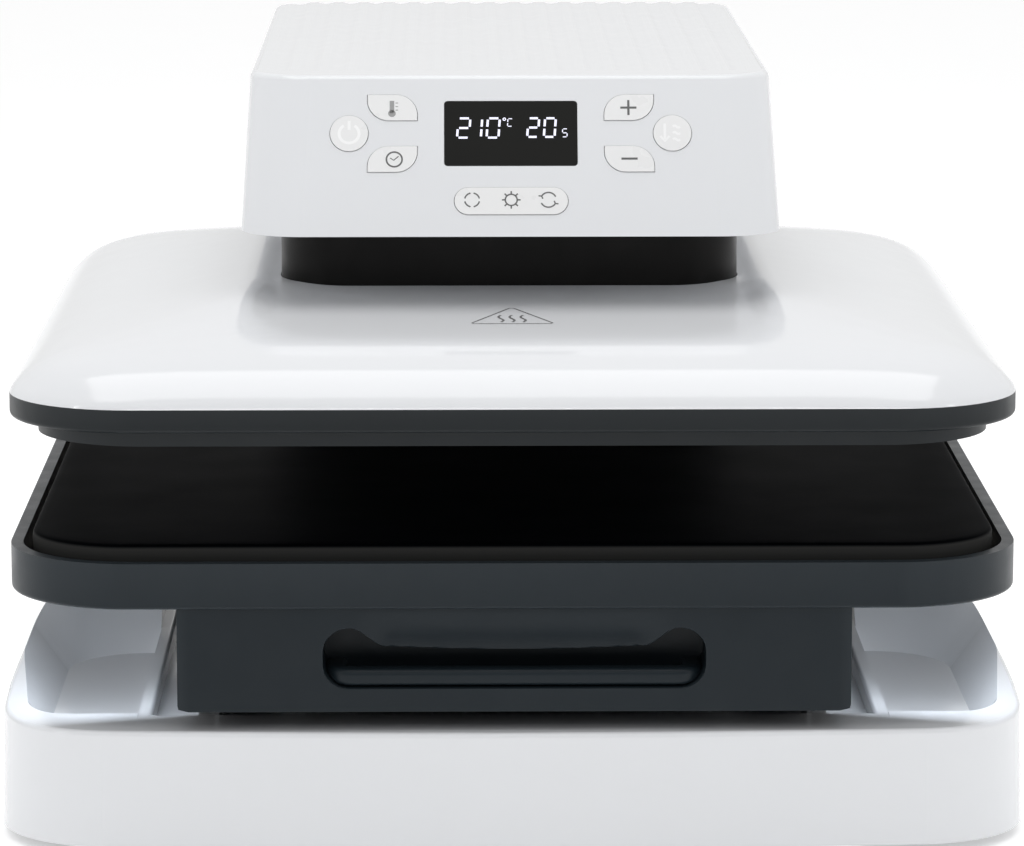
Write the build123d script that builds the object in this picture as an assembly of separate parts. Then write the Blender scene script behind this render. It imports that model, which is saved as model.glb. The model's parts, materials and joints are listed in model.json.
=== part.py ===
from build123d import *
import os
from math import atan2, cos, sin

# Drawer-type heat press. Millimetres, +Z up, +Y to the back.
# Origin: on the resting plane, at the centre of the footprint.

# ---------------------------------------------------------------- driving sizes
BASE_HALF = 211.0            # half width of the base at its foot
BASE_FRONT = -252.0
BASE_BACK = 252.0
BASE_CORNER_R = 47.0
BASE_BOW_R = 2400.0
FOOT_H = 4.0                 # rubber feet lift the base by this much
PLATE_T = 2.5                # steel bottom plate
WALL = 3.0                   # plastic wall of base and lid
DECK_Z = 76.0                # top of the base at its sides and back
LIP_Z = 52.0                 # top of the front lip and of the channel's ridges
FLOOR_Z = 43.0               # floor of the channel and of the side pockets
RIDGE_IN = 148.5             # ridge beside the drawer, inner face
RIDGE_OUT = 154.0            # and outer face
CHANNEL_FRONT = -214.0       # front end of channel and pockets
CHANNEL_BACK = 188.0

TRAY_HALF = 206.5
TRAY_FRONT = -248.7
TRAY_BACK = 164.3
TRAY_Z = (102.6, 121.6)
PAD_HALF = 197.5
PAD_Y = (-239.0, 155.0)
PAD_Z = (114.0, 127.6)

PLATEN_HALF = 190.0          # heated plate, 380 mm square
PRESS_Y = -42.0              # middle of the press, and the screw's axis
PLATEN_Z = (167.5, 180.0)
LID_HALF = 206.0
LID_Y = (-250.5, 180.0)
LID_R = 52.0
TRIM_Z = (175.0, 184.6)
LID_TOP = 217.0
CARRIER_Z = (200.0, 203.0)

NECK_HALF = 98.6
NECK_Y = (-104.0, 100.0)
NECK_Z = (203.0, 284.0)
NECK_R = 30.0

HEAD_LOW = 240.4             # lower edge of the head
HEAD_TOP = 304.5
HEAD_LOW_HALF = 113.8
HEAD_TOP_HALF = 110.5
HEAD_LOW_Y = (-149.0, 249.0)
HEAD_TOP_Y = (-115.0, 238.0)
HEAD_R = 26.0
HEAD_WALL = 2.5
CHASSIS_TOP = 290.0

COLUMN_HALF = 113.0
COLUMN_Y = (190.0, 245.5)
REAR_T = 2.5                 # rear cover
POST_X = (70.5, 100.5)       # steel posts in the column
POST_Y = (198.0, 228.0)

SLIDE_Y = (-212.0, 150.0)    # length of the telescopic slides
SLIDE_Z = 79.5               # their mid height
SCREW_D = 12.0


# ---------------------------------------------------------------- small helpers
def block(x, y, z):
    """Box from its lowest to its highest corner: x, y and z are pairs."""
    size = [b - a for a, b in (x, y, z)]
    middle = [(a + b) / 2 for a, b in (x, y, z)]
    return Pos(*middle) * Box(*size)


def slab(half, y, z, radius, taper=0):
    """Rounded rectangle, symmetric in X, standing from z[0] to z[1]."""
    outline = RectangleRounded(2 * half, y[1] - y[0], radius)
    return extrude(Pos(0, sum(y) / 2, z[0]) * outline, amount=z[1] - z[0], taper=taper)


def rod(x, y, z, diameter):
    return Pos(x, y, (z[0] + z[1]) / 2) * Cylinder(diameter / 2, z[1] - z[0])


def tube(x, y, z, outer, inner):
    return rod(x, y, z, outer) - rod(x, y, z, inner)


def both_sides(shape):
    return [shape, mirror(shape, about=Plane.YZ)]


def save(name, *solids):
    """One node: a single solid, or a group of separate ones."""
    found = [s for part in solids for s in part.solids()]
    whole = found[0] if len(found) == 1 else Compound(children=found)
    export_step(whole, f"parts/{name}.step")


# ---------------------------------------------------------------- base
def base_outline(inset, z, taper):
    """Rounded rectangle with a slightly bowed front."""
    half = BASE_HALF - inset
    front = BASE_FRONT + inset
    back = BASE_BACK - inset
    corner = front + half ** 2 / (2 * BASE_BOW_R)
    bow = ThreePointArc((-half, corner), (0, front), (half, corner))
    sides = Polyline((half, corner), (half, back), (-half, back), (-half, corner))
    face = make_face([bow.edge(), *sides.edges()])
    face = fillet(face.vertices(), BASE_CORNER_R - inset)
    return extrude(Pos(0, 0, z[0]) * face, amount=z[1] - z[0], taper=taper)


DISH_SIDE = 29.0             # how far the pockets' walls lean out, up to DISH_TOP
DISH_BACK = 40.0
DISH_FRONT = 7.0
DISH_TOP = 80.0
DISH_X = 192.0               # floor of a pocket, at its outer side and at its back
DISH_Y = -60.0
SHOULDER_R = 28.0            # the sides round inwards above the lip's height
# The top edge climbs from the low front to the deck along each side: Y and Z.
CLIMB = [(-272, 51.7), (-240, 51.9), (-216, 52.4), (-192, 55.2), (-150, 61), (-110, 66.5),
         (-70, 71.5), (-30, 75.3), (10, 76.2)]


def shouldered(inset):
    """Limits the base's sides: upright, then rounding inwards up to the deck."""
    half = BASE_HALF - inset
    top = DECK_Z - inset
    outline = make_face(Polyline((-half, -5), (half, -5), (half, top), (-half, top), close=True))
    outline = fillet(outline.vertices().group_by(Axis.Y)[-1], SHOULDER_R - inset)
    return extrude(Plane.XZ * outline, amount=BASE_BACK + 20, both=True)


def dish_ring(t, z):
    """Outline of a side pocket: its floor for t = 0, its wide top for t = 1."""
    front = CHANNEL_FRONT - t * DISH_FRONT
    side = DISH_X + t * DISH_SIDE
    back = DISH_Y + t * DISH_BACK
    outline = Polyline(
        (RIDGE_OUT, front), (side, front), (side, back), (RIDGE_OUT, back), close=True)
    face = Pos(0, 0, z) * make_face(outline)
    far = face.vertices().group_by(Axis.X)[-1].sort_by(Axis.Y)[-1]
    face = fillet(far, 34 + 31 * t)
    near = face.vertices().group_by(Axis.Y)[0].sort_by(Axis.X)[-1]
    return fillet(near, 12 + 16 * t)


def base_shell():
    shell = base_outline(0, (FOOT_H, DECK_Z), 1.1) & shouldered(0)
    line = Spline(*[(0, y, z) for y, z in CLIMB])
    first, last = CLIMB[0], CLIMB[-1]
    roof = Polyline((0, *last), (0, last[0], 120), (0, first[0], 120), (0, *first))
    cutter = extrude(make_face([line.edge(), *roof.edges()]), amount=250, both=True)
    shell = shell - cutter

    pockets = loft([dish_ring(0, FLOOR_Z), dish_ring(1, DISH_TOP)], ruled=True)
    channel = block((-RIDGE_IN, RIDGE_IN), (CHANNEL_FRONT, CHANNEL_BACK), (FLOOR_Z, 90))
    upper = block((-RIDGE_OUT - 0.1, RIDGE_OUT + 0.1), (BASE_FRONT - 5, CHANNEL_BACK), (LIP_Z, 90))
    for cut in (*both_sides(pockets), channel, upper):
        shell = shell - cut

    # Soft edges: the ridges, the lip over the channel, and the outer edge at the front.
    def near_ridge(edge):
        box = edge.bounding_box()
        middle = edge.center()
        return box.size.Y > 100 and abs(abs(middle.X) - RIDGE_IN) < 0.2 and middle.Z > FLOOR_Z + 5

    def on_lip(edge):
        middle = edge.center()
        return abs(middle.Y - CHANNEL_FRONT) < 0.5 and abs(middle.X) < 5 and middle.Z > FLOOR_Z + 5

    def on_front(edge):
        """The outer top edge at the front, and as it climbs along the sides."""
        middle = edge.center()
        climbing = abs(middle.X) > 207.5 and middle.Y < -150
        return middle.Z > LIP_Z - 2 and (climbing or middle.Y < -228)

    shell = fillet(shell.edges().filter_by(near_ridge), 1.8)
    shell = fillet(shell.edges().filter_by(on_lip), 4)
    shell = fillet(shell.edges().filter_by(on_front), 2)

    # Hollow below the floor, in the decks beside the channel, and under the column.
    under = base_outline(WALL, (FOOT_H, FLOOR_Z - WALL), 1.1)
    deck = block((RIDGE_OUT + WALL, 203.5), (30, CHANNEL_BACK), (FOOT_H, DECK_Z - WALL))
    rear = block((-210, 210), (CHANNEL_BACK + WALL, BASE_BACK), (FOOT_H, DECK_Z - WALL))
    rear = rear & base_outline(WALL, (FOOT_H, DECK_Z), 1.1)
    for cut in (under, *both_sides(deck), rear):
        shell = shell - (cut & shouldered(WALL))
    hole = block((POST_X[0] - 1.5, POST_X[1] + 1.5), (POST_Y[0] - 1.5, POST_Y[1] + 1.5), (60, 90))
    for cut in both_sides(hole):
        shell = shell - cut
    return shell


FOOT_SPOTS = [(x, y) for x in (-172, 172) for y in (-206, 214)]


def bottom_plate():
    plate = base_outline(WALL + 1.2, (FOOT_H, FOOT_H + PLATE_T), 0)
    for x, y in FOOT_SPOTS:
        plate = plate - rod(x, y, (0, 20), 4.4)
    return plate


def rubber_feet():
    feet = []
    for x, y in FOOT_SPOTS:
        foot = Pos(x, y, 0) * extrude(Circle(12), amount=FOOT_H, taper=-6)
        foot = foot - rod(x, y, (-1, 2.2), 9) - rod(x, y, (-1, 10), 4.4)
        feet.append(foot)
    return feet


def feet_screws():
    return [rod(x, y, (0.8, 2.2), 8) + rod(x, y, (2.2, 14), 4) for x, y in FOOT_SPOTS]


# ---------------------------------------------------------------- drawer slides
def channel_rail(back_x, lip_x, half_h, thick, y, z_mid=SLIDE_Z):
    """C section along Y: a back at back_x, and two lips reaching to lip_x."""
    side = 1 if back_x > lip_x else -1
    back = block(sorted((back_x - side * thick, back_x)), y, (z_mid - half_h, z_mid + half_h))
    rail = back
    for z in ((z_mid + half_h - thick, z_mid + half_h), (z_mid - half_h, z_mid - half_h + thick)):
        rail = rail + block(sorted((back_x, lip_x)), y, z)
    return rail


def slide_brackets():
    wall = block((121, 123), SLIDE_Y, (FLOOR_Z, 96))
    foot = block((123, 131), SLIDE_Y, (FLOOR_Z, FLOOR_Z + 2))
    return both_sides(wall + foot)


def outer_rails():
    return both_sides(channel_rail(121, 112, 17.5, 1.5, SLIDE_Y))


def middle_rails():
    return both_sides(channel_rail(118.4, 111, 14.0, 1.5, SLIDE_Y))


def ball_cages():
    strips = []
    for z in (SLIDE_Z + 15.0, SLIDE_Z - 15.0):
        strips += both_sides(block((112.5, 117), (-200, 120), (z - 0.6, z + 0.6)))
    return strips


def inner_rails():
    return both_sides(channel_rail(109.5, 115.5, 10.5, 1.5, SLIDE_Y))


def slide_beams():
    wall = block((107.5, 109.5), SLIDE_Y, (64, TRAY_Z[0]))
    flange = block((94, 107.5), SLIDE_Y, (TRAY_Z[0] - 2, TRAY_Z[0]))
    return both_sides(wall + flange)


# ---------------------------------------------------------------- drawer
FASCIA_Y = (-246.0, -241.0)
FASCIA_Z = (59.9, 102.6)
GRIP_HALF = 77.4
GRIP_Z = (70.0, 93.4)        # opening behind the grip bar, at its two ends
GRIP_BACK = -222.0
GRIP_R = 10.3
BAR_Z = (70.4, 77.4)
BAR_DEPTH = 9.0


def grip_ends(inset):
    """The opening's round ends, one solid each, through the front panel."""
    height = GRIP_Z[1] - GRIP_Z[0]
    outline = RectangleRounded(2 * GRIP_R + 0.1 - 2 * inset, height - 2 * inset, GRIP_R - inset)
    end = extrude(Plane.XZ * Pos(GRIP_HALF - GRIP_R, sum(GRIP_Z) / 2) * outline, amount=30)
    return both_sides(Pos(0, GRIP_BACK, 0) * end)


def drawer_front():
    """Front panel with its scooped finger recess, and the two side skirts behind it."""
    front = block((-136.3, 136.3), FASCIA_Y, FASCIA_Z)
    front = fillet(front.edges().filter_by(Axis.Y).group_by(Axis.Z)[0], 3)
    bowl = block((-GRIP_HALF - 3, GRIP_HALF + 3), (FASCIA_Y[1], GRIP_BACK + 3), (67, 101))
    bowl = fillet(bowl.edges().filter_by(Axis.Y), 9)
    panel = front + bowl
    skirts = block((133.3, 136.3), (FASCIA_Y[1], 158), FASCIA_Z)
    for skirt in both_sides(skirts):
        panel = panel + skirt

    # The scoop leans back from the panel's top edge to behind the grip bar.
    y = FASCIA_Y[0] - 1
    slope = Spline((0, y, 99.2), (0, -241, 97.4), (0, -233, 91.5), (0, -226, 81.5), (0, GRIP_BACK, 74))
    rest = Polyline((0, GRIP_BACK, 74), (0, GRIP_BACK, GRIP_Z[0]), (0, y, GRIP_Z[0]), (0, y, 99.2))
    profile = make_face([slope.edge(), *rest.edges()])
    scoop = extrude(profile, amount=GRIP_HALF - GRIP_R, both=True)
    for hollow in (scoop, *grip_ends(0)):
        panel = panel - hollow
    return panel


def drawer_handle():
    """Grip bar across the recess, curving back into it at both ends."""
    x = GRIP_HALF - 0.5 - BAR_DEPTH / 2
    y = FASCIA_Y[0] + BAR_DEPTH / 2
    z = sum(BAR_Z) / 2
    path = FilletPolyline((-x, GRIP_BACK, z), (-x, y, z), (x, y, z), (x, GRIP_BACK, z), radius=7)
    section = RectangleRounded(BAR_DEPTH, BAR_Z[1] - BAR_Z[0], 2.6)
    start = Plane(origin=(-x, GRIP_BACK, z), z_dir=(0, -1, 0), x_dir=(1, 0, 0))
    bar = sweep(start * section, path=path)
    height = GRIP_Z[1] - GRIP_Z[0]
    outline = RectangleRounded(2 * GRIP_HALF - 1, height - 0.8, GRIP_R - 0.4)
    trim = extrude(Plane.XZ * Pos(0, sum(GRIP_Z) / 2) * outline, amount=260)
    return bar & trim


def tray():
    body = slab(TRAY_HALF, (TRAY_FRONT, TRAY_BACK), TRAY_Z, 52)
    well = slab(TRAY_HALF - 5, (TRAY_FRONT + 5, TRAY_BACK - 5), (TRAY_Z[0] + 3, 140), 47)
    body = fillet(body.edges().group_by(Axis.Z)[0], 2)
    return body - well


def pad():
    body = slab(PAD_HALF, PAD_Y, PAD_Z, 42)
    return fillet(body.edges().group_by(Axis.Z)[-1], 3)


def drawer_screws():
    spots = [(x, y) for x in (-100, 100) for y in (-205, -70, 60, 140)]
    return [rod(x, y, (96.6, 100.6), 7) for x, y in spots]


# ---------------------------------------------------------------- lid
def lid_dome(inset, z_low, drop):
    """Rounded shoulder, then a shallow crown: rings of the same outline, ever smaller."""
    shape = [(0, 184.6), (4, 190), (11, 196.5), (22, 202), (36, 205.5), (64, 210), (100, LID_TOP)]
    rings = []
    for step, z in shape:
        grow = step + inset
        outline = RectangleRounded(
            2 * (LID_HALF - grow), LID_Y[1] - LID_Y[0] - 2 * grow, max(LID_R - grow * 0.35, 20))
        rings.append(Pos(0, sum(LID_Y) / 2, max(z - drop, z_low)) * outline)
    return loft(rings, ruled=True)


def lid_shell():
    shell = lid_dome(0, 184.6, 0)
    shell = shell - lid_dome(WALL, 184.0, 3.2)
    shell = shell - slab(LID_HALF - WALL, (LID_Y[0] + 3, LID_Y[1] - 3), (180, 184.7), LID_R - 3)
    opening = slab(NECK_HALF + 0.4, (NECK_Y[0] - 0.4, NECK_Y[1] + 0.4), (190, 230), NECK_R + 0.4)
    return shell - opening


def lid_trim():
    ring = slab(LID_HALF, LID_Y, TRIM_Z, LID_R)
    ring = fillet(ring.edges().group_by(Axis.Z)[0], 2)
    cavity = slab(LID_HALF - 3, (LID_Y[0] + 3, LID_Y[1] - 3), (TRIM_Z[0] + 3, 200), LID_R - 3)
    window = slab(PLATEN_HALF + 1, (PRESS_Y - 191, PRESS_Y + 191), (170, 200), 43)
    return ring - cavity - window


def platen_shroud():
    ring = slab(195, (PRESS_Y - 195, PRESS_Y + 195), (PLATEN_Z[0], TRIM_Z[0]), 46)
    return ring - slab(PLATEN_HALF + 0.6, (PRESS_Y - 190.6, PRESS_Y + 190.6), (160, 180), 42.6)


def heat_platen():
    plate = slab(PLATEN_HALF, (PRESS_Y - 190, PRESS_Y + 190), PLATEN_Z, 42)
    return fillet(plate.edges().group_by(Axis.Z)[0], 1.5)


def heating_element():
    """Tubular heater clamped on the plate, in one serpentine run."""
    z = PLATEN_Z[1] + 3.5
    points = [(-30, 128), (-30, -60), (-95, -60), (-95, 128), (-165, 128), (-165, -205)]
    points += [(-x, y) for x, y in reversed(points)]
    path = FilletPolyline(*[(x, y, z) for x, y in points], radius=18)
    start = Plane(origin=(points[0][0], points[0][1], z), z_dir=(0, -1, 0))
    return sweep(start * Circle(3.4), path=path)


STANDOFFS = [(x, PRESS_Y + y) for x in (-130, 130) for y in (-120, 120)]
GUIDES = [(x, PRESS_Y + y) for x in (-70, 70) for y in (-40, 45)]


def insulation():
    sheet = slab(184, (PRESS_Y - 184, PRESS_Y + 184), (187.5, 195.5), 34)
    for x, y in STANDOFFS:
        sheet = sheet - rod(x, y, (180, 200), 16)
    return sheet


def carrier_plate():
    plate = slab(145, (PRESS_Y - 140, PRESS_Y + 142), CARRIER_Z, 12)
    return plate - rod(0, PRESS_Y, (190, 210), 20)


def neck_shroud():
    outer = slab(NECK_HALF, NECK_Y, NECK_Z, NECK_R)
    return outer - slab(NECK_HALF - 3, (NECK_Y[0] + 3, NECK_Y[1] - 3), (190, 300), NECK_R - 3)


def lift_yoke():
    bridge = block((-40, 40), (PRESS_Y - 20, PRESS_Y + 20), (250, 256))
    for side in (-1, 1):
        leg_x = sorted((side * 32, side * 40))
        bridge = bridge + block(leg_x, (PRESS_Y - 20, PRESS_Y + 20), (CARRIER_Z[1], 250))
    return bridge - rod(0, PRESS_Y, (240, 260), 20.4)


def screw_nut():
    nut = rod(0, PRESS_Y, (243, 260), 20) + rod(0, PRESS_Y, (256, 260), 34)
    return nut - rod(0, PRESS_Y, (230, 270), SCREW_D + 0.2)


def lead_screw():
    """Trapezoidal screw, shown with rings at its pitch, and its shank in the gear unit."""
    pitch = 5.0
    low, high = 205.0, 261.0
    core = rod(0, PRESS_Y, (low, high), SCREW_D - 2.4) + rod(0, PRESS_Y, (high, 280), 9.8)
    turns = int((high - low) / pitch)
    for turn in range(turns):
        z = low + 1 + turn * pitch
        core = core + rod(0, PRESS_Y, (z, z + pitch * 0.55), SCREW_D)
    return core


# ---------------------------------------------------------------- head and column
def head_loft(inset, z_low, z_high):
    """Head body between two heights, its front and back leaning in towards the top."""
    def ring(z):
        t = (z - HEAD_LOW) / (HEAD_TOP - HEAD_LOW)
        half = HEAD_LOW_HALF + t * (HEAD_TOP_HALF - HEAD_LOW_HALF) - inset
        front = HEAD_LOW_Y[0] + t * (HEAD_TOP_Y[0] - HEAD_LOW_Y[0]) + inset * 1.13
        back = HEAD_LOW_Y[1] + t * (HEAD_TOP_Y[1] - HEAD_LOW_Y[1]) - inset
        return Pos(0, (front + back) / 2, z) * RectangleRounded(2 * half, back - front, HEAD_R - inset)
    return loft([ring(z_low), ring(z_high)], ruled=True)


# The leaning front face has its own plane: x to the right, y up the face, z outward.
LEAN = atan2(HEAD_TOP_Y[0] - HEAD_LOW_Y[0], HEAD_TOP - HEAD_LOW)
PANEL = Plane(
    origin=(0, (HEAD_LOW_Y[0] + HEAD_TOP_Y[0]) / 2, (HEAD_LOW + HEAD_TOP) / 2),
    x_dir=(1, 0, 0), z_dir=(0, -cos(LEAN), sin(LEAN)))
ROUND_D = 16.0
ROUND_X = 68.0
CONTROL_Y = 10.0             # height of the round buttons and the display up the face
PETAL_X = 49.8
PETAL_Y = 11.6               # above and below the round buttons' height
PETAL = (20.8, 11.5)
PILL = (47.5, 12.0)
PILL_Y = -20.4
DISPLAY = (56.0, 29.2)
BUTTON_PROUD = 0.4
BUTTON_GAP = 0.25


def petal(grow, corner_signs):
    """Leaf outline: a rectangle with two opposite corners swept round."""
    face = Rectangle(PETAL[0] + 2 * grow, PETAL[1] + 2 * grow)
    for sx, sy in corner_signs:
        corner = [v for v in face.vertices() if v.X * sx > 5 and v.Y * sy > 3]
        face = fillet(corner, 9 + grow)
    return face


RISING = ((1, -1), (-1, 1))      # the rounded corners of each kind of leaf
FALLING = ((1, 1), (-1, -1))


def button_outlines(grow):
    """Name and outline, on the face's plane, of every push button."""
    outlines = {
        "power_button": Pos(-ROUND_X, CONTROL_Y) * Circle(ROUND_D / 2 + grow),
        "start_button": Pos(ROUND_X, CONTROL_Y) * Circle(ROUND_D / 2 + grow),
        "mode_button": Pos(0, PILL_Y) * RectangleRounded(
            PILL[0] + 2 * grow, PILL[1] + 2 * grow, PILL[1] / 2 + grow - 0.01),
    }
    leaves = {
        "temperature_button": (-PETAL_X, PETAL_Y, FALLING),
        "time_button": (-PETAL_X, -PETAL_Y, RISING),
        "plus_button": (PETAL_X, PETAL_Y, RISING),
        "minus_button": (PETAL_X, -PETAL_Y, FALLING),
    }
    for name, (x, dy, corners) in leaves.items():
        outlines[name] = Pos(x, CONTROL_Y + dy) * petal(grow, corners)
    return outlines


def on_panel(outline, low, high):
    """Solid on the face's plane, from depth low to height high along its normal."""
    return extrude(PANEL.offset(low) * outline, amount=high - low)


FLUTES = 17
FLUTE_PITCH = 12.3
FLUTE_DEPTH = 1.0
CREST = 0.1                  # the wave's crests pass above the top, leaving narrow lands
FLUTE_FRONT = -91.0          # the flutes stop short of the front edge


def flutes():
    """Wavy cut along Y over the head's top, made of arcs, its front end sloping out."""
    span = FLUTES * FLUTE_PITCH / 2
    quarter = FLUTE_PITCH / 4
    middle = HEAD_TOP + (CREST - FLUTE_DEPTH) / 2
    swing = (CREST + FLUTE_DEPTH) / 2
    arcs = []
    for k in range(2 * FLUTES - 1):
        x = -span + quarter + 2 * k * quarter
        side = -1 if k % 2 == 0 else 1
        arcs.append(ThreePointArc((x, middle), (x + quarter, middle + side * swing),
                                  (x + 2 * quarter, middle)).edge())
    first, last = -span + quarter, span - quarter
    top = HEAD_TOP + 5
    rest = Polyline((last, middle), (last + quarter, HEAD_TOP + CREST), (last + quarter, top),
                    (first - quarter, top), (first - quarter, HEAD_TOP + CREST), (first, middle))
    profile = make_face([*arcs, *rest.edges()])
    cut = extrude(Plane.XZ * profile, amount=400, both=True)
    reach = make_face(Polyline(
        (FLUTE_FRONT, top + 1), (FLUTE_FRONT - 7, HEAD_TOP - 3), (300, HEAD_TOP - 3), (300, top + 1),
        close=True))
    return cut & extrude(Plane.YZ * reach, amount=200, both=True)


def head_shell():
    shell = head_loft(0, HEAD_LOW, HEAD_TOP)
    shell = fillet(shell.edges().group_by(Axis.Z)[-1], 3)
    shell = shell - flutes()
    shell = shell - head_loft(HEAD_WALL, HEAD_LOW - 5, HEAD_TOP - HEAD_WALL)
    for outline in button_outlines(BUTTON_GAP).values():
        shell = shell - on_panel(outline, -4, 2)
    window = Pos(0, CONTROL_Y) * RectangleRounded(DISPLAY[0] + 0.2, DISPLAY[1] + 0.2, 1.6)
    shell = shell - on_panel(window, -1.5, 2)
    return shell - on_panel(Pos(0, CONTROL_Y) * Rectangle(50, 24), -4, 0)


def push_button(name):
    """Cap through the wall, with a flange behind it that keeps it in."""
    cap = on_panel(button_outlines(0)[name], -3.6, BUTTON_PROUD)
    return cap + on_panel(button_outlines(1.2)[name], -3.7, -2.7)


def display_window():
    glass = Pos(0, CONTROL_Y) * RectangleRounded(*DISPLAY, 1.5)
    return on_panel(glass, -1.5, 0.0)


def display_module():
    return on_panel(Pos(0, CONTROL_Y) * Rectangle(49, 23), -7.6, -1.6)


def control_board():
    return on_panel(Pos(0, 2) * RectangleRounded(168, 58, 3), -9.2, -7.6)


def tactile_switches():
    spots = {name: face.center() for name, face in button_outlines(0).items()}
    return [on_panel(Pos(c.X, c.Y) * Rectangle(6, 6), -7.6, -4.6) for c in spots.values()]


def buzzer():
    return on_panel(Pos(30, -8) * Circle(6), -15.2, -9.2)


def head_cover():
    """Flat cover under the head, with the opening that the neck slides in."""
    cover = head_loft(HEAD_WALL + 0.3, HEAD_LOW, HEAD_LOW + 2.5)
    opening = slab(NECK_HALF + 0.8, (NECK_Y[0] - 0.8, NECK_Y[1] + 0.8), (230, 250), NECK_R + 0.8)
    behind = block((-120, 120), (COLUMN_Y[0] - 1, 260), (230, 250))
    return cover - opening - behind


def head_chassis():
    """Bent steel channel that carries the drive and hangs the lid from the column."""
    y = (-98, POST_Y[1])
    chassis = block((-103.5, 103.5), y, (CHASSIS_TOP - 3, CHASSIS_TOP))
    for side in (-1, 1):
        wall_x = sorted((side * 100.5, side * 103.5))
        chassis = chassis + block(wall_x, y, (246, CHASSIS_TOP - 3))
    for x, guide_y in GUIDES:
        chassis = chassis - rod(x, guide_y, (280, 300), 12)
    return chassis


def guide_bushings():
    return [tube(x, y, (249, 287), 19, 10.1) + tube(x, y, (283, 287), 28, 10.1) for x, y in GUIDES]


def guide_rods():
    return [rod(x, y, (CARRIER_Z[1], 297), 10) for x, y in GUIDES]


def gear_unit():
    body = block((-28, 28), (PRESS_Y - 30, PRESS_Y + 30), (268, 287))
    body = fillet(body.edges().filter_by(Axis.Z), 6)
    return body - rod(0, PRESS_Y, (260, 282), 10.2)


def motor():
    can = Pos(0, PRESS_Y + 30 + 32, 268) * Rot(90, 0, 0) * Cylinder(18, 64)
    return can & block((-30, 30), (PRESS_Y + 30, PRESS_Y + 100), (240, 286.5))


def column_frame():
    posts = []
    for side in (-1, 1):
        x = sorted((side * POST_X[0], side * POST_X[1]))
        post = block(x, POST_Y, (FOOT_H + PLATE_T, CHASSIS_TOP - 3))
        inner = block((x[0] + 3, x[1] - 3), (POST_Y[0] + 3, POST_Y[1] - 3), (0, 300))
        posts.append(post - inner)
    return posts


def column_shell():
    """Front and sides of the column, open at the back."""
    z = (DECK_Z, HEAD_LOW)
    outer = slab(COLUMN_HALF, (COLUMN_Y[0], COLUMN_Y[1] + 30), z, 14)
    inner = slab(COLUMN_HALF - 2.5, (COLUMN_Y[0] + 2.5, COLUMN_Y[1] + 27), (50, 250), 11.5)
    behind = block((-130, 130), (COLUMN_Y[1], 300), (50, 250))
    return outer - inner - behind


INLET = (-35.0, 106.0)           # X and Z of the mains inlet
SWITCH = (28.0, 106.0)           # and of the rocker switch
REAR_Y = COLUMN_Y[1] + REAR_T


def rear_cover():
    plate = block((-COLUMN_HALF, COLUMN_HALF), (COLUMN_Y[1], REAR_Y), (DECK_Z + 0.4, HEAD_LOW - 0.4))
    plate = fillet(plate.edges().filter_by(Axis.Y), 4)
    holes = [block((INLET[0] - 23.8, INLET[0] + 23.8), (240, 250), (INLET[1] - 13.8, INLET[1] + 13.8)),
             block((SWITCH[0] - 6.7, SWITCH[0] + 6.7), (240, 250), (SWITCH[1] - 9.7, SWITCH[1] + 9.7))]
    rows, columns = 8, 2
    for row in range(rows):
        for column in range(columns):
            x = (column - 0.5) * 84
            z = 168 + row * 7
            holes.append(block((x - 34, x + 34), (240, 250), (z - 1.5, z + 1.5)))
    for x, z in COVER_SCREWS:
        holes.append(Pos(x, 245, z) * Rot(90, 0, 0) * Cylinder(1.7, 12))
    for hole in holes:
        plate = plate - hole
    return plate


COVER_SCREWS = [(x, z) for x in (-104, 104) for z in (88, 158, 228)]


def cover_screws():
    screws = []
    for x, z in COVER_SCREWS:
        head = Pos(x, REAR_Y + 0.9, z) * Rot(90, 0, 0) * Cylinder(3, 1.8)
        shank = Pos(x, REAR_Y - 5, z) * Rot(90, 0, 0) * Cylinder(1.5, 10)
        screws.append(head + shank)
    return screws


def mains_inlet():
    x, z = INLET
    body = block((x - 23.5, x + 23.5), (224, REAR_Y), (z - 13.5, z + 13.5))
    flange = block((x - 27, x + 27), (REAR_Y, REAR_Y + 2.5), (z - 17, z + 17))
    flange = fillet(flange.edges().filter_by(Axis.Y), 4)
    socket = block((x - 20, x + 20), (232, 260), (z - 10, z + 10))
    return body + flange - socket


def inlet_pins():
    x, z = INLET
    spots = [(x - 7, z - 3), (x + 7, z - 3), (x, z + 3)]
    return [block((px - 1, px + 1), (232, 248), (pz - 2, pz + 2)) for px, pz in spots]


def switch_frame():
    x, z = SWITCH
    body = block((x - 6.5, x + 6.5), (230, REAR_Y), (z - 9.5, z + 9.5))
    flange = block((x - 7.5, x + 7.5), (REAR_Y, REAR_Y + 2), (z - 10.5, z + 10.5))
    well = block((x - 5.2, x + 5.2), (239, 260), (z - 8.2, z + 8.2))
    pivot = Pos(x, REAR_Y - 1, z) * Rot(0, 90, 0) * Cylinder(1.05, 12.6)
    return body + flange - well - pivot


ROCKER_TILT = -9.0


def rocker():
    """Rocker, held at its off side: its upper half stands out."""
    x, z = SWITCH
    middle = Pos(x, REAR_Y - 1, z)
    stubs = middle * Rot(0, 90, 0) * Cylinder(1, 12.2)
    return middle * Rot(ROCKER_TILT, 0, 0) * Box(9.6, 4.4, 14.6) + stubs


def power_board():
    return block((-60, 60), (197, 198.6), (140, 222))


def power_components():
    y0 = 198.6
    parts = [block((-50, -16), (y0, y0 + 26), (150, 182)),
             block((-8, 12), (y0, y0 + 15), (150, 170)),
             block((20, 34), (y0, y0 + 22), (190, 214))]
    for x in (26, 44):
        parts.append(Pos(x, y0 + 12, 162) * Rot(90, 0, 0) * Cylinder(7, 24))
    return parts


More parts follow.
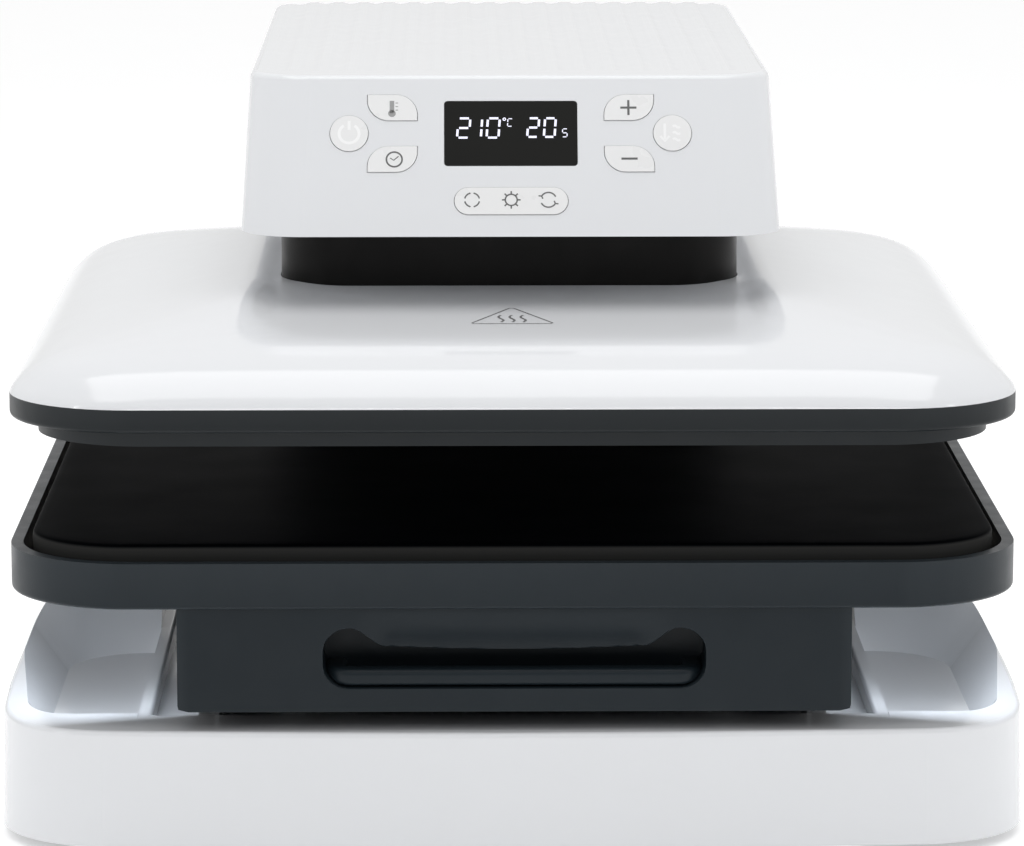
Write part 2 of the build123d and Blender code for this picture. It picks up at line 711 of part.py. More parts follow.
# ---------------------------------------------------------------- write every node
def main():
    os.makedirs("parts", exist_ok=True)
    save("base_shell", base_shell())
    save("base_bottom_plate", bottom_plate())
    save("rubber_feet", *rubber_feet())
    save("feet_screws", *feet_screws())
    save("slide_brackets", *slide_brackets())
    save("outer_rails", *outer_rails())
    save("column_frame", *column_frame())
    save("column_shell", column_shell())
    save("rear_cover", rear_cover())
    save("cover_screws", *cover_screws())
    save("mains_inlet", mains_inlet())
    save("inlet_pins", *inlet_pins())
    save("switch_frame", switch_frame())
    save("power_board", power_board())
    save("power_components", *power_components())
    save("head_shell", head_shell())
    save("head_cover", head_cover())
    save("head_chassis", head_chassis())
    save("guide_bushings", *guide_bushings())
    save("gear_unit", gear_unit())
    save("motor", motor())
    save("screw_bearing", tube(0, PRESS_Y, (262, 268), 24, 10.2))
    save("display_window", display_window())
    save("display_module", display_module())
    save("control_board", control_board())
    save("tactile_switches", *tactile_switches())
    save("buzzer", buzzer())

    save("middle_rails", *middle_rails())
    save("ball_cages", *ball_cages())

    save("drawer_front", drawer_front())
    save("drawer_handle", drawer_handle())
    save("tray", tray())
    save("insulation_board", slab(199, (-241, 157), (105.6, 112), 44))
    save("pad_plate", slab(198, (-240, 156), (112, PAD_Z[0]), 43))
    save("heat_pad", pad())
    save("slide_beams", *slide_beams())
    save("inner_rails", *inner_rails())
    save("drawer_screws", *drawer_screws())

    save("lid_shell", lid_shell())
    save("lid_trim", lid_trim())
    save("platen_shroud", platen_shroud())
    save("heat_platen", heat_platen())
    save("heating_element", heating_element())
    save("insulation_blanket", insulation())
    save("thermostat", rod(0, 60, (PLATEN_Z[1], 187), 16))
    save("carrier_plate", carrier_plate())
    save("platen_standoffs", *[rod(x, y, (PLATEN_Z[1], CARRIER_Z[0]), 12) for x, y in STANDOFFS])
    save("lift_yoke", lift_yoke())
    save("screw_nut", screw_nut())
    save("guide_rods", *guide_rods())
    save("neck_shroud", neck_shroud())

    save("lead_screw", lead_screw())
    save("rocker", rocker())
    for name in button_outlines(0):
        save(name, push_button(name))


main()
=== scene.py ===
import json
import math

import bpy
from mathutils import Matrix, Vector


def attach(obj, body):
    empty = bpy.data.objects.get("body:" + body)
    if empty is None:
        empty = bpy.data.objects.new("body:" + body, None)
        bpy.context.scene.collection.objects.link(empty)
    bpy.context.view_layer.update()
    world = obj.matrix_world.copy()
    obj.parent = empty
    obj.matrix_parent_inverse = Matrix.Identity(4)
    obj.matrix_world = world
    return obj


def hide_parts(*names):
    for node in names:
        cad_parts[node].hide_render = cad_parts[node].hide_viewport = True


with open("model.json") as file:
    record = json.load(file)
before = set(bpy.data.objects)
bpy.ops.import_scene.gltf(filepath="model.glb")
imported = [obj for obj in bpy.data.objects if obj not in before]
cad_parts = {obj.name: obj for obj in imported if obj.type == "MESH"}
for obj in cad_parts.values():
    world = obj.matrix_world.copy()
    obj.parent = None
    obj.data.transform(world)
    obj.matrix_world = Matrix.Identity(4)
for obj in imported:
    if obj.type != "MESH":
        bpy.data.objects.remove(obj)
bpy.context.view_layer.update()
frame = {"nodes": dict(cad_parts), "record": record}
MM = 0.001


# ------------------------------------------------------------------ materials
def shader(name):
    """A new material with a Principled shader: the material, its nodes, its links and the shader."""
    mat = bpy.data.materials.new(name)
    mat.use_nodes = True
    tree = mat.node_tree
    return mat, tree.nodes, tree.links, tree.nodes["Principled BSDF"]


def noise(nodes, links, coords, scale, detail=3.0, stretch=(1, 1, 1)):
    """Noise in an object's own coordinates, stretched if asked."""
    mapping = nodes.new("ShaderNodeMapping")
    mapping.inputs["Scale"].default_value = stretch
    links.new(coords, mapping.inputs["Vector"])
    tex = nodes.new("ShaderNodeTexNoise")
    tex.inputs["Scale"].default_value = scale
    tex.inputs["Detail"].default_value = detail
    links.new(mapping.outputs["Vector"], tex.inputs["Vector"])
    return tex.outputs["Fac"]


def spread(nodes, links, fac, low, high):
    """Maps noise, which stays near its middle, onto low to high."""
    ramp = nodes.new("ShaderNodeMapRange")
    ramp.inputs["From Min"].default_value = 0.3
    ramp.inputs["From Max"].default_value = 0.7
    ramp.inputs["To Min"].default_value = low
    ramp.inputs["To Max"].default_value = high
    links.new(fac, ramp.inputs["Value"])
    return ramp.outputs["Result"]


def surface(name, colour, rough, metal=0.0, grain=1200.0, depth=0.00002, mottle=0.03, cloud=14.0,
            rough_spread=0.05, coat=0.0, stretch=(1, 1, 1), tint=None, edge=0.0, shine=0.5):
    """A solid finish: fine grain as bump, cloudy colour and roughness, and a lighter colour on sharp
    edges.
    """
    mat, nodes, links, bsdf = shader(name)
    coords = nodes.new("ShaderNodeTexCoord").outputs["Object"]
    cloudy = noise(nodes, links, coords, cloud, 4.0, stretch)
    mix = nodes.new("ShaderNodeMix")
    mix.data_type = "RGBA"
    dark = [c * (1 - mottle) for c in colour]
    light = [min(c * (1 + mottle), 1.0) for c in (tint or colour)]
    mix.inputs["A"].default_value = (*dark, 1)
    mix.inputs["B"].default_value = (*light, 1)
    links.new(spread(nodes, links, cloudy, 0, 1), mix.inputs["Factor"])
    result = mix.outputs["Result"]
    if edge:
        edge_tone = nodes.new("ShaderNodeMix")
        edge_tone.data_type = "RGBA"
        edge_tone.inputs["B"].default_value = (*[min(c * 1.6 + 0.03, 1) for c in colour], 1)
        sharp = nodes.new("ShaderNodeMapRange")
        sharp.inputs["From Min"].default_value = 0.52
        sharp.inputs["From Max"].default_value = 0.60
        sharp.inputs["To Max"].default_value = edge
        links.new(nodes.new("ShaderNodeNewGeometry").outputs["Pointiness"], sharp.inputs["Value"])
        links.new(sharp.outputs["Result"], edge_tone.inputs["Factor"])
        links.new(result, edge_tone.inputs["A"])
        result = edge_tone.outputs["Result"]
    links.new(result, bsdf.inputs["Base Color"])
    uneven = noise(nodes, links, coords, cloud * 6, 5.0, stretch)
    links.new(spread(nodes, links, uneven, rough - rough_spread, rough + rough_spread),
              bsdf.inputs["Roughness"])
    fine = noise(nodes, links, coords, grain, 2.0, stretch)
    bump = nodes.new("ShaderNodeBump")
    bump.inputs["Distance"].default_value = depth
    bump.inputs["Strength"].default_value = 1.0
    links.new(fine, bump.inputs["Height"])
    links.new(bump.outputs["Normal"], bsdf.inputs["Normal"])
    bsdf.inputs["Metallic"].default_value = metal
    bsdf.inputs["Specular IOR Level"].default_value = shine
    bsdf.inputs["Coat Weight"].default_value = coat
    bsdf.inputs["Coat Roughness"].default_value = 0.06
    return mat


def paint_side_highlight(mat, colour):
    """Upright faces of this finish get a lighter colour of their own: a painted highlight standing in for
    the light that the pad's sides catch.
    """
    nodes, links = mat.node_tree.nodes, mat.node_tree.links
    base = nodes["Principled BSDF"].inputs["Base Color"]
    tone = base.links[0].from_socket
    split = nodes.new("ShaderNodeSeparateXYZ")
    links.new(nodes.new("ShaderNodeNewGeometry").outputs["Normal"], split.inputs["Vector"])
    upright = nodes.new("ShaderNodeMapRange")
    upright.inputs["From Min"].default_value = 0.75
    upright.inputs["From Max"].default_value = 0.25
    links.new(split.outputs["Z"], upright.inputs["Value"])
    mix = nodes.new("ShaderNodeMix")
    mix.data_type = "RGBA"
    mix.inputs["B"].default_value = (*colour, 1)
    links.new(upright.outputs["Result"], mix.inputs["Factor"])
    links.new(tone, mix.inputs["A"])
    links.new(mix.outputs["Result"], base)


def glow(name, colour, strength):
    """A lit colour, a little uneven."""
    mat, nodes, links, bsdf = shader(name)
    coords = nodes.new("ShaderNodeTexCoord").outputs["Object"]
    cloudy = noise(nodes, links, coords, 900.0)
    power = spread(nodes, links, cloudy, strength * 0.92, strength * 1.08)
    bsdf.inputs["Base Color"].default_value = (*colour, 1)
    bsdf.inputs["Emission Color"].default_value = (*colour, 1)
    links.new(power, bsdf.inputs["Emission Strength"])
    return mat


WHITE = (0.80, 0.81, 0.83)
FINISH = {
    "shell_white": surface("glossy_white", WHITE, 0.13, grain=1400, depth=0.000002, mottle=0.005,
                           rough_spread=0.008, coat=0.2),
    "button_white": surface("key_white", (0.86, 0.86, 0.86), 0.3, depth=0.00001, mottle=0.01),
    "rubber_black": surface("foot_rubber", (0.02, 0.02, 0.02), 0.75, depth=0.00005, mottle=0.15),
    "steel": surface("zinc_steel", (0.56, 0.57, 0.58), 0.34, metal=1, grain=500, mottle=0.08,
                     stretch=(1, 0.05, 1), cloud=40),
    "screw_steel": surface("screw_plating", (0.62, 0.62, 0.63), 0.25, metal=1, mottle=0.05),
    "black_plastic": surface("black_plastic", (0.005, 0.0045, 0.004), 0.36, grain=1500,
                             depth=0.00003, mottle=0.1, shine=0.15),
    "trim_dark": surface("trim_plastic", (0.010, 0.013, 0.015), 0.40, grain=1600, depth=0.00003,
                         mottle=0.06, edge=0.35, shine=0.22),
    "tray_dark": surface("tray_plastic", (0.010, 0.0155, 0.020), 0.36, grain=1600, depth=0.00003,
                         mottle=0.06, edge=0.35, shine=0.22),
    "pad_black": surface("pad_skin", (0.0012, 0.0015, 0.002), 0.45, grain=1400, depth=0.00002,
                         mottle=0.06, cloud=5, rough_spread=0.02, shine=0.003),
    "aluminium": surface("machined_aluminium", (0.75, 0.75, 0.76), 0.3, metal=1, grain=700,
                         stretch=(1, 0.04, 1), mottle=0.05, cloud=60),
    "motor_paint": surface("motor_paint", (0.05, 0.05, 0.055), 0.35, mottle=0.08),
    "brass": surface("turned_brass", (0.75, 0.55, 0.25), 0.25, metal=1, mottle=0.06),
    "heater_steel": surface("heater_tube", (0.30, 0.27, 0.24), 0.4, metal=1, mottle=0.15,
                            tint=(0.34, 0.30, 0.34)),
    "insulation": surface("mineral_fibre", (0.72, 0.69, 0.62), 0.95, grain=500, depth=0.0004,
                          mottle=0.12, cloud=60),
    "board_green": surface("circuit_board", (0.02, 0.13, 0.06), 0.3, mottle=0.1),
    "component": surface("component", (0.05, 0.06, 0.09), 0.4, mottle=0.1),
    "display_black": surface("display_window", (0.012, 0.012, 0.011), 0.10, grain=60,
                             depth=0.000003, mottle=0.1, rough_spread=0.02, shine=0.2),
}
# painted highlight: the pad's upright sides get a lighter colour than its top
paint_side_highlight(FINISH["pad_black"], (0.034, 0.034, 0.033))
INK_DARK = surface("printed_grey", (0.13, 0.13, 0.13), 0.5, mottle=0.1, depth=0.000004)
INK_SOFT = surface("printed_pale_grey", (0.36, 0.36, 0.36), 0.5, mottle=0.1, depth=0.000004)
INK_WHITE = surface("printed_white", (0.97, 0.97, 0.97), 0.4, mottle=0.02, depth=0.000004)
DIGIT = glow("lit_digit", (0.72, 0.72, 0.84), 0.62)

for part in frame["record"]["subparts"]:
    materials = frame["nodes"][part["node"]].data.materials
    materials.clear()
    materials.append(FINISH[part["material_slot"]])

scene = bpy.context.scene


# ------------------------------------------------------------------ shapes
def piece(name, points, faces, finish, body, sharp=35):
    """A mesh of its own, given in millimetres, that rides on a body."""
    mesh = bpy.data.meshes.new(name)
    mesh.from_pydata([[c * MM for c in p] for p in points], [], faces)
    mesh.polygons.foreach_set("use_smooth", [True] * len(mesh.polygons))
    mesh.set_sharp_from_angle(angle=math.radians(sharp))
    mesh.materials.append(finish)
    obj = bpy.data.objects.new(name, mesh)
    scene.collection.objects.link(obj)
    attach(obj, body)
    return obj


def ring(half, front, back, radius, corner=14, side=40):
    """Points round a rounded rectangle, anticlockwise seen from above."""
    spots = [(half - radius, front + radius, -90), (half - radius, back - radius, 0),
             (radius - half, back - radius, 90), (radius - half, front + radius, 180)]
    points = []
    for k, (cx, cy, start) in enumerate(spots):
        for step in range(corner + 1):
            angle = math.radians(start + 90 * step / corner)
            points.append((cx + radius * math.cos(angle), cy + radius * math.sin(angle)))
        nx, ny, start = spots[(k + 1) % 4]
        angle = math.radians(start)
        end = (nx + radius * math.cos(angle), ny + radius * math.sin(angle))
        last = points[-1]
        for step in range(1, side):
            points.append(tuple(a + (b - a) * step / side for a, b in zip(last, end)))
    return points


def skin(rings):
    """Points and faces of a surface through rings of equal length."""
    count = len(rings[0])
    points = [p for r in rings for p in r]
    faces = []
    for k in range(len(rings) - 1):
        for i in range(count):
            j = (i + 1) % count
            faces.append((k * count + i, k * count + j, (k + 1) * count + j, (k + 1) * count + i))
    return points, faces


def smooth_step(value, low, high):
    """0 below low, 1 above high, and smooth between them."""
    t = min(max((value - low) / (high - low), 0.0), 1.0)
    return t * t * (3 - 2 * t)


def strokes(name, lines, width, place, finish, body):
    """Printed lines of one width. A line is a list of (u, v), and is closed if its ends meet."""
    points, faces = [], []
    for line in lines:
        closed = math.dist(line[0], line[-1]) < 0.001
        path = line[:-1] if closed else line
        count, first = len(path), len(points)
        for i, (u, v) in enumerate(path):
            before = path[i - 1] if closed or i else path[i]
            after = path[(i + 1) % count] if closed or i < count - 1 else path[i]
            du, dv = after[0] - before[0], after[1] - before[1]
            reach = width / 2 / math.hypot(du, dv)
            points.append(place(u - dv * reach, v + du * reach))
            points.append(place(u + dv * reach, v - du * reach))
        for i in range(count if closed else count - 1):
            a, b = first + 2 * i, first + 2 * ((i + 1) % count)
            faces.append((a, a + 1, b + 1, b))
    return piece(name, points, faces, finish, body)


def arc(cu, cv, radius, start, end, steps=24):
    """Points along an arc, its angles in degrees."""
    angles = [math.radians(start + (end - start) * k / steps) for k in range(steps + 1)]
    return [(cu + radius * math.cos(a), cv + radius * math.sin(a)) for a in angles]


# ------------------------------------------------------------------ lid
LID_HALF, LID_FRONT, LID_BACK, LID_R = 206.0, -250.5, 180.0, 52.0
LID_MID = (LID_FRONT + LID_BACK) / 2
LID_LONG = (LID_BACK - LID_FRONT) / 2
SEAM_Z = 184.6                      # where the lid meets its dark trim
CROWN_SLOPE, CROWN_TOP, CROWN_EASE = 0.16, 15.2, 1.3
EDGE_RISE, EDGE_REACH = 1.2, 0.7    # small round at the seam
ROUND_RISE, ROUND_REACH = 14.6, 12  # large round of the shoulder
CHANNEL_Z, CHANNEL_FALL, CHANNEL_SIDE = 213.4, 0.07, (99, 115)
NECK = (99.0, -104.4, 100.4, 30.4)  # opening for the neck: half width, front, back, radius


def lower_of(a, b, soft):
    """The smaller of two heights, rounded where they cross."""
    return (a + b - math.sqrt((a - b) ** 2 + soft * soft)) / 2


def lid_z(x, y):
    """Height of the lid's surface: a round shoulder, a slow crown, and a channel down its front."""
    qx, qy = abs(x) - (LID_HALF - LID_R), abs(y - LID_MID) - (LID_LONG - LID_R)
    depth = LID_R - math.hypot(max(qx, 0), max(qy, 0)) - min(max(qx, qy), 0)
    depth = max(depth, 0.0)
    norm = ((abs(x) / LID_HALF) ** 8 + (abs(y - LID_MID) / LID_LONG) ** 8) ** 0.125
    crown = max(CROWN_SLOPE * LID_HALF * (1 - norm), 0.0)
    if crown > CROWN_TOP:
        crown = CROWN_TOP + CROWN_EASE * (1 - math.exp(-(crown - CROWN_TOP) / CROWN_EASE))
    shoulder = EDGE_RISE * (1 - math.exp(-depth / EDGE_REACH))
    shoulder += ROUND_RISE * (1 - math.exp(-depth / ROUND_REACH))
    z = SEAM_Z + shoulder + crown
    channel = lower_of(z, CHANNEL_Z - CHANNEL_FALL * max(-104 - y, -8), 1.2)
    if depth < 20:
        channel = z
    side = 1 - smooth_step(abs(x), *CHANNEL_SIDE)
    return z + (channel - z) * side * smooth_step(depth, 22, 44) * (1 - smooth_step(y, 96, 112))


def lid():
    """Lid from its seam over the shoulder and crown to the neck, turned in by a lip at both ends."""
    lip = 3
    under = ring(LID_HALF - lip, LID_FRONT + lip, LID_BACK - lip, LID_R - lip)
    rings = [[(x, y, SEAM_Z) for x, y in under]]
    steps = (0, 0.2, 0.5, 1, 1.6, 2.4, 3.4, 4.6, 6, 8, 10.5, 13.5, 17, 21, 25.5, 30.5, 36, 42, 48, 56, 64)
    for s in steps:
        outline = ring(LID_HALF - s, LID_FRONT + s, LID_BACK - s, max(LID_R - 0.6 * s, 24))
        rings.append([(x, y, lid_z(x, y)) for x, y in outline])
    last = (LID_HALF - s, LID_FRONT + s, LID_BACK - s, 24.0)
    inner = 22
    for k in range(1, inner + 1):
        outline = ring(*[a + (b - a) * k / inner for a, b in zip(last, NECK)])
        rings.append([(x, y, lid_z(x, y)) for x, y in outline])
    rings.append([(x, y, z - lip) for x, y, z in rings[-1]])
    shell = piece("lid_body", *skin(rings), FINISH["shell_white"], "lid", sharp=50)
    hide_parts("lid_shell")


def on_lid(x, y):
    """A point of a print on the lid, just above its surface."""
    return (x, y, lid_z(x, y) + 0.08)


def heat_mark():
    """Generic hot-surface sign: a triangle with three wavy lines in it."""
    corners = [(-17.5, -178.0), (17.5, -178.0), (0.0, -147.6)]
    blunt = 1.6
    outline = []
    for k, corner in enumerate(corners):
        for other in (corners[k - 1], corners[(k + 1) % 3]):
            size = math.dist(corner, other)
            cut = [c + (o - c) * blunt / size for c, o in zip(corner, other)]
            outline.append(tuple(cut))
    sides = []
    for k in range(6):
        a, b = outline[k], outline[(k + 1) % 6]
        parts = 14 if k % 2 else 1
        sides += [tuple(p + (q - p) * n / parts for p, q in zip(a, b)) for n in range(parts)]
    sides.append(sides[0])
    waves, steps, foot, tall = [], 24, -175.0, 12.5
    for x in (-4.6, 0.0, 4.6):
        waves.append([(x + math.sin(k * math.tau / steps), foot + tall * k / steps)
                      for k in range(steps + 1)])
    strokes("heat_mark", [sides], 0.8, on_lid, INK_DARK, "lid")
    strokes("heat_waves", waves, 1.0, on_lid, INK_DARK, "lid")


# ------------------------------------------------------------------ heat pad
def heat_pad():
    """Firm foam pad with a smooth skin, its top edge rolled over."""
    half, front, back, radius = 197.5, -239.0, 155.0, 42.0
    profile = [(0.6, 114.0), (0, 114.6), (0, 125.3), (0.12, 125.9), (0.45, 126.5), (1.0, 126.95),
               (1.8, 127.2), (3.5, 127.35), (9, 127.4), (24, 127.5), (60, 127.55), (110, 127.6)]
    rings = []
    for s, z in profile:
        outline = ring(half - s, front + s, back - s, max(radius - 0.5 * s, 16), side=24)
        rings.append([(x, y, z) for x, y in outline])
    points, faces = skin(rings)
    count = len(rings[0])
    faces.append(tuple(range(len(points) - count, len(points))))
    faces.append(tuple(reversed(range(count))))
    pad = piece("pad_body", points, faces, FINISH["pad_black"], "drawer", sharp=60)
    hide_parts("heat_pad")


# ------------------------------------------------------------------ control panel
LEAN = math.atan2(34.0, 64.1)       # of the head's front, from its run and rise
PANEL_Y, PANEL_Z = -132.0, 272.45   # where the face's own coordinates start
PRINT = 0.03                        # a print's height above the window
KEY_TOP = 0.44                      # a button's top above the face, with its print


def on_panel(height):
    """Points on the head's leaning front: u to the right, v up the face, at a height above it."""
    def place(u, v):
        y = PANEL_Y + v * math.sin(LEAN) - height * math.cos(LEAN)
        z = PANEL_Z + v * math.cos(LEAN) + height * math.sin(LEAN)
        return (u, y, z)
    return place


def digit(shape, left, low, wide, high):
    """Seven-segment figure from its segments' letters, leaning a little."""
    half = high / 2
    ends = {"a": (0, high, wide, high), "b": (wide, high, wide, half), "c": (wide, half, wide, 0),
            "d": (0, 0, wide, 0), "e": (0, half, 0, 0), "f": (0, high, 0, half),
            "g": (0, half, wide, half)}
    slant, gap_share = 0.07, 0.12
    lines = []
    for letter in shape:
        u0, v0, u1, v1 = ends[letter]
        gap = gap_share * wide / math.dist((u0, v0), (u1, v1))
        line = [(u0 + (u1 - u0) * t, v0 + (v1 - v0) * t) for t in (gap, 1 - gap)]
        lines.append([(left + u + slant * v, low + v) for u, v in line])
    return lines


def readout():
    """Lit figures: 210 and 20, with their small units beside them."""
    two, one, zero = "abged", "bc", "abcdef"
    lines = []
    for shape, left in ((two, -22.6), (one, -17.6), (zero, -10.2)):
        lines += digit(shape, left, 8.1, 5.0, 8.7)
    for shape, left in ((two, 6.9), (zero, 13.9)):
        lines += digit(shape, left, 8.4, 4.5, 8.4)
    strokes("digits", lines, 0.95, on_panel(PRINT), DIGIT, "root")
    small = digit("afgcd", 21.6, 8.4, 2.0, 3.6) + digit("afed", -1.4, 13.2, 2.0, 3.4)
    small.append(arc(-2.7, 16.4, 0.55, 0, 360, 16))
    strokes("units", small, 0.42, on_panel(PRINT), DIGIT, "root")


def icons():
    """Printed signs on the buttons, each riding on its own button."""
    face = on_panel(KEY_TOP)
    power = [arc(-68, 9.8, 4.2, 122, 418, 36), [(-68, 11.5), (-68, 15.6)]]
    strokes("power_icon", power, 1.25, face, INK_WHITE, "power_button")
    down = [[(64.8, 14.2), (64.8, 7.2)]]
    head = [[(62.9, 8.6), (64.8, 6.2), (66.7, 8.6)]]
    waves = [[(68.2 + 0.5 * k, v + 0.5 * math.sin(k * 1.05)) for k in range(7)]
             for v in (12.8, 9.9, 7.0)]
    strokes("start_icon", down + head + waves, 1.05, face, INK_WHITE, "start_button")
    stem = [[(-50.0, 19.0), (-50.0, 24.6)]]
    strokes("thermometer_icon", stem, 1.9, face, INK_SOFT, "temperature_button")
    strokes("thermometer_bulb", [arc(-50.0, 18.9, 0.8, 0, 360)], 1.6, face, INK_SOFT,
            "temperature_button")
    ticks = [[(-48.5, v), (-47.4, v)] for v in (20.4, 22.0, 23.6)]
    strokes("thermometer_ticks", ticks, 0.35, face, INK_SOFT, "temperature_button")
    rim = [arc(-49.0, -1.8, 3.3, 0, 360, 32)]
    strokes("clock_icon", rim, 0.7, face, INK_DARK, "time_button")
    hands = [[(-47.2, -0.4), (-49.2, -2.2), (-50.7, -1.2)]]
    strokes("clock_hands", hands, 0.45, face, INK_DARK, "time_button")
    strokes("plus_icon", [[(46.2, 21.4), (53.0, 21.4)]], 0.95, face, INK_DARK, "plus_button")
    strokes("plus_bar", [[(49.6, 18.0), (49.6, 24.8)]], 0.95, on_panel(KEY_TOP + 0.01), INK_DARK,
            "plus_button")
    strokes("minus_icon", [[(46.4, -1.6), (53.2, -1.6)]], 0.95, face, INK_DARK, "minus_button")
    row, turn_u, turn_r = -20.0, 15.6, 3.3
    dashed = [arc(-16.4, row, 3.1, k * 90 + 12, k * 90 + 78, 12) for k in range(4)]
    dashed += [arc(turn_u, row, turn_r, start, start + 125, 16) for start in (25, 205)]
    gear = [arc(0, row, 2.5, 0, 360, 32)]
    for k in range(8):
        a = k * math.tau / 8
        gear.append([(r * math.cos(a), row + r * math.sin(a)) for r in (2.6, 3.9)])
    strokes("mode_icons", dashed + gear, 0.62, face, INK_DARK, "mode_button")
    tips = []
    for turn in (150, 330):
        a = math.radians(turn)
        cu, cv = turn_u + turn_r * math.cos(a), row + turn_r * math.sin(a)
        barb, one, other = 1.3, a + 2.5, a + 0.4
        tips.append([(cu + barb * math.cos(one), cv + barb * math.sin(one)), (cu, cv),
                     (cu + barb * math.cos(other), cv + barb * math.sin(other))])
    strokes("mode_tips", tips, 0.6, face, INK_DARK, "mode_button")


# ------------------------------------------------------------------ drawer front
FRONT_HALF, FRONT_LOW, FRONT_HIGH, FRONT_Y = 136.3, 59.9, 102.6, -246.0
GRIP_HALF, GRIP_LOW, GRIP_HIGH, GRIP_R = 77.4, 70.0, 93.8, 10.3
GRIP_MID = GRIP_HALF - GRIP_R       # where the opening's round ends begin
OPENING_DEPTH, SCOOP_DEPTH, PANEL_THICK, SKIRT_THICK, SKIRT_BACK = 23.0, 7.0, 5, 3, 158


def slot_top(x):
    """Upper edge of the opening behind the grip bar: low in the middle, round at both ends."""
    x = abs(x)
    if x > GRIP_MID:
        return GRIP_HIGH - GRIP_R + math.sqrt(max(GRIP_R ** 2 - (x - GRIP_MID) ** 2, 0))
    flat = 83.8 + 1.6 * (x / 55) ** 2
    return flat + (GRIP_HIGH - flat) * smooth_step(x, GRIP_MID - 15, GRIP_MID - 1)


def slot_low(x):
    """Lower edge of the opening: straight, with the same round ends."""
    x = abs(x)
    if x < GRIP_MID:
        return GRIP_LOW
    return GRIP_LOW + GRIP_R - math.sqrt(max(GRIP_R ** 2 - (x - GRIP_MID) ** 2, 0))


def front_depth(x, z):
    """How far back the front's surface lies: a shallow scoop, and the deep opening below it."""
    scoop = SCOOP_DEPTH * (1 - smooth_step(z, 84, 101.5)) * (1 - smooth_step(abs(x), 48, 66))
    scoop *= smooth_step(z, 76, 84)
    if abs(x) >= GRIP_HALF:
        return scoop
    inside = min(slot_top(x) - z, z - slot_low(x))
    deep = smooth_step(inside, -0.6, 1.6)
    return scoop + (OPENING_DEPTH - scoop) * deep


def drawer_front():
    """Front panel as one fine surface, with the two side skirts behind it."""
    coarse, fine, fine_half, high = 60, 320, 80, 110
    columns = sorted({-FRONT_HALF + 2 * FRONT_HALF * k / coarse for k in range(coarse + 1)}
                     | {-fine_half + 2 * fine_half * k / fine for k in range(fine + 1)})
    rows = [FRONT_LOW + (FRONT_HIGH - FRONT_LOW) * k / high for k in range(high + 1)]
    rounding = 3
    points, faces = [], []
    for z in rows:
        for x in columns:
            past = max(rounding - (FRONT_HALF - abs(x)), 0), max(rounding - (z - FRONT_LOW), 0)
            cut = 0.7 * max(math.hypot(*past) - rounding, 0)
            points.append((x - math.copysign(cut, x), FRONT_Y + front_depth(x, z), z + cut))
    wide = len(columns)
    for r in range(len(rows) - 1):
        for c in range(wide - 1):
            a = r * wide + c
            faces.append((a, a + 1, a + wide + 1, a + wide))
    edge = list(range(wide)) + [r * wide + wide - 1 for r in range(1, len(rows))]
    edge += [(len(rows) - 1) * wide + c for c in range(wide - 2, -1, -1)]
    edge += [r * wide for r in range(len(rows) - 2, 0, -1)]
    back = len(points)
    points += [(points[k][0], FRONT_Y + PANEL_THICK, points[k][2]) for k in edge]
    for n, k in enumerate(edge):
        m = (n + 1) % len(edge)
        faces.append((k, back + n, back + m, edge[m]))
    for side in (-1, 1):
        first = len(points)
        x0, x1 = sorted((side * (FRONT_HALF - SKIRT_THICK), side * FRONT_HALF))
        for y in (FRONT_Y + PANEL_THICK - 1, SKIRT_BACK):
            points += [(x0, y, FRONT_LOW), (x1, y, FRONT_LOW), (x1, y, FRONT_HIGH),
                       (x0, y, FRONT_HIGH)]
        for a, b in ((0, 1), (1, 2), (2, 3), (3, 0)):
            faces.append((first + a, first + b, first + b + 4, first + a + 4))
        faces.append((first + 4, first + 5, first + 6, first + 7))
    panel = piece("front_panel", points, faces, FINISH["tray_dark"], "drawer", sharp=40)
    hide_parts("drawer_front")


lid()
heat_mark()
drawer_front()
heat_pad()
readout()
icons()

# ------------------------------------------------------------------ camera, light and floor
scene.view_settings.view_transform = "Standard"

camera = bpy.data.cameras.new("camera")
camera.lens = 173.4
camera.sensor_width = 36.0
eye = bpy.data.objects.new("camera", camera)
eye.location = (-0.0258, -2.1916, 0.5194)
eye.rotation_euler = (math.radians(90 - 9.94), 0, math.radians(-0.73))
scene.collection.objects.link(eye)
scene.camera = eye


def softbox(name, spot, aim, width, depth, power, colour=(1, 1, 1)):
    """A rectangular light in watts at a spot, turned towards its aim."""
    data = bpy.data.lights.new(name, "AREA")
    data.shape = "RECTANGLE"
    data.size = width
    data.size_y = depth
    data.energy = power
    data.color = colour
    lamp = bpy.data.objects.new(name, data)
    lamp.location = spot
    lamp.rotation_euler = (Vector(aim) - Vector(spot)).to_track_quat("-Z", "Y").to_euler()
    scene.collection.objects.link(lamp)


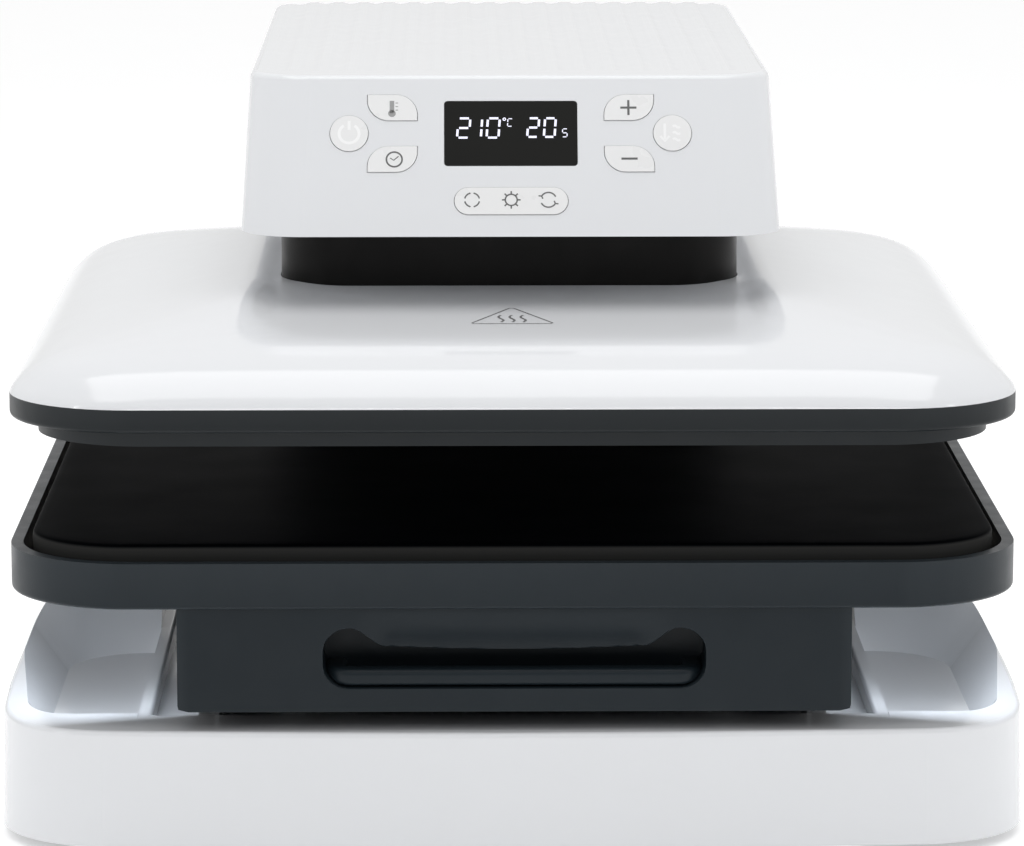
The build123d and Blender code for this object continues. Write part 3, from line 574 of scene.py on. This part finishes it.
softbox("top_light", (0, -0.1, 1.9), (0, 0, 0.2), 1.8, 1.4, 14)
softbox("front_strip", (0.1, -2.4, 1.55), (0, -0.2, 0.2), 1.5, 0.07, 2.5)
softbox("left_strip", (-1.7, -1.2, 0.9), (0, 0, 0.18), 0.07, 1.0, 2)
softbox("right_strip", (1.7, -1.2, 0.9), (0, 0, 0.18), 0.07, 1.0, 2)
for side in (-1, 1):
    # under the tray's front edge, facing back into the pocket beside the drawer
    softbox("pocket_light", (side * 0.165, -0.228, 0.089), (side * 0.192, -0.13, 0.082), 0.05, 0.014,
            0.066, (0.84, 0.91, 1.0))

world = bpy.data.worlds.new("studio")
world.use_nodes = True
sky = world.node_tree
# bright overhead and behind, dimmer in front
facing = sky.nodes.new("ShaderNodeVectorMath")
facing.operation = "DOT_PRODUCT"
facing.inputs[1].default_value = (0, 0.75, 0.65)
sky.links.new(sky.nodes.new("ShaderNodeTexCoord").outputs["Generated"], facing.inputs[0])
reach = sky.nodes.new("ShaderNodeMapRange")
reach.inputs["From Min"].default_value = -0.75
reach.inputs["From Max"].default_value = 0.65
sky.links.new(facing.outputs["Value"], reach.inputs["Value"])
dome = sky.nodes.new("ShaderNodeValToRGB")
dim, bright = dome.color_ramp.elements
dim.position, dim.color = 0.0, (0.28, 0.29, 0.30, 1)
bright.position, bright.color = 0.85, (1.0, 1.0, 1.0, 1)
sky.links.new(reach.outputs["Result"], dome.inputs["Fac"])
sky.links.new(dome.outputs["Color"], sky.nodes["Background"].inputs["Color"])
sky.nodes["Background"].inputs["Strength"].default_value = 0.78
scene.world = world


def floor():
    """Pale paper that glows a little, so that it stays near white far from the lights."""
    mesh = bpy.data.meshes.new("floor")
    size = 12.0
    mesh.from_pydata([(-size, -size, 0), (size, -size, 0), (size, size, 0), (-size, size, 0)],
                     [], [(0, 1, 2, 3)])
    slab = bpy.data.objects.new("floor", mesh)
    slab.location.z = -0.0002
    paper = surface("pale_floor", (0.93, 0.93, 0.93), 0.7, grain=300, mottle=0.004)
    shade = paper.node_tree.nodes["Principled BSDF"]
    shade.inputs["Emission Color"].default_value = (1, 1, 1, 1)
    shade.inputs["Emission Strength"].default_value = 0.30
    mesh.materials.append(paper)
    scene.collection.objects.link(slab)


floor()
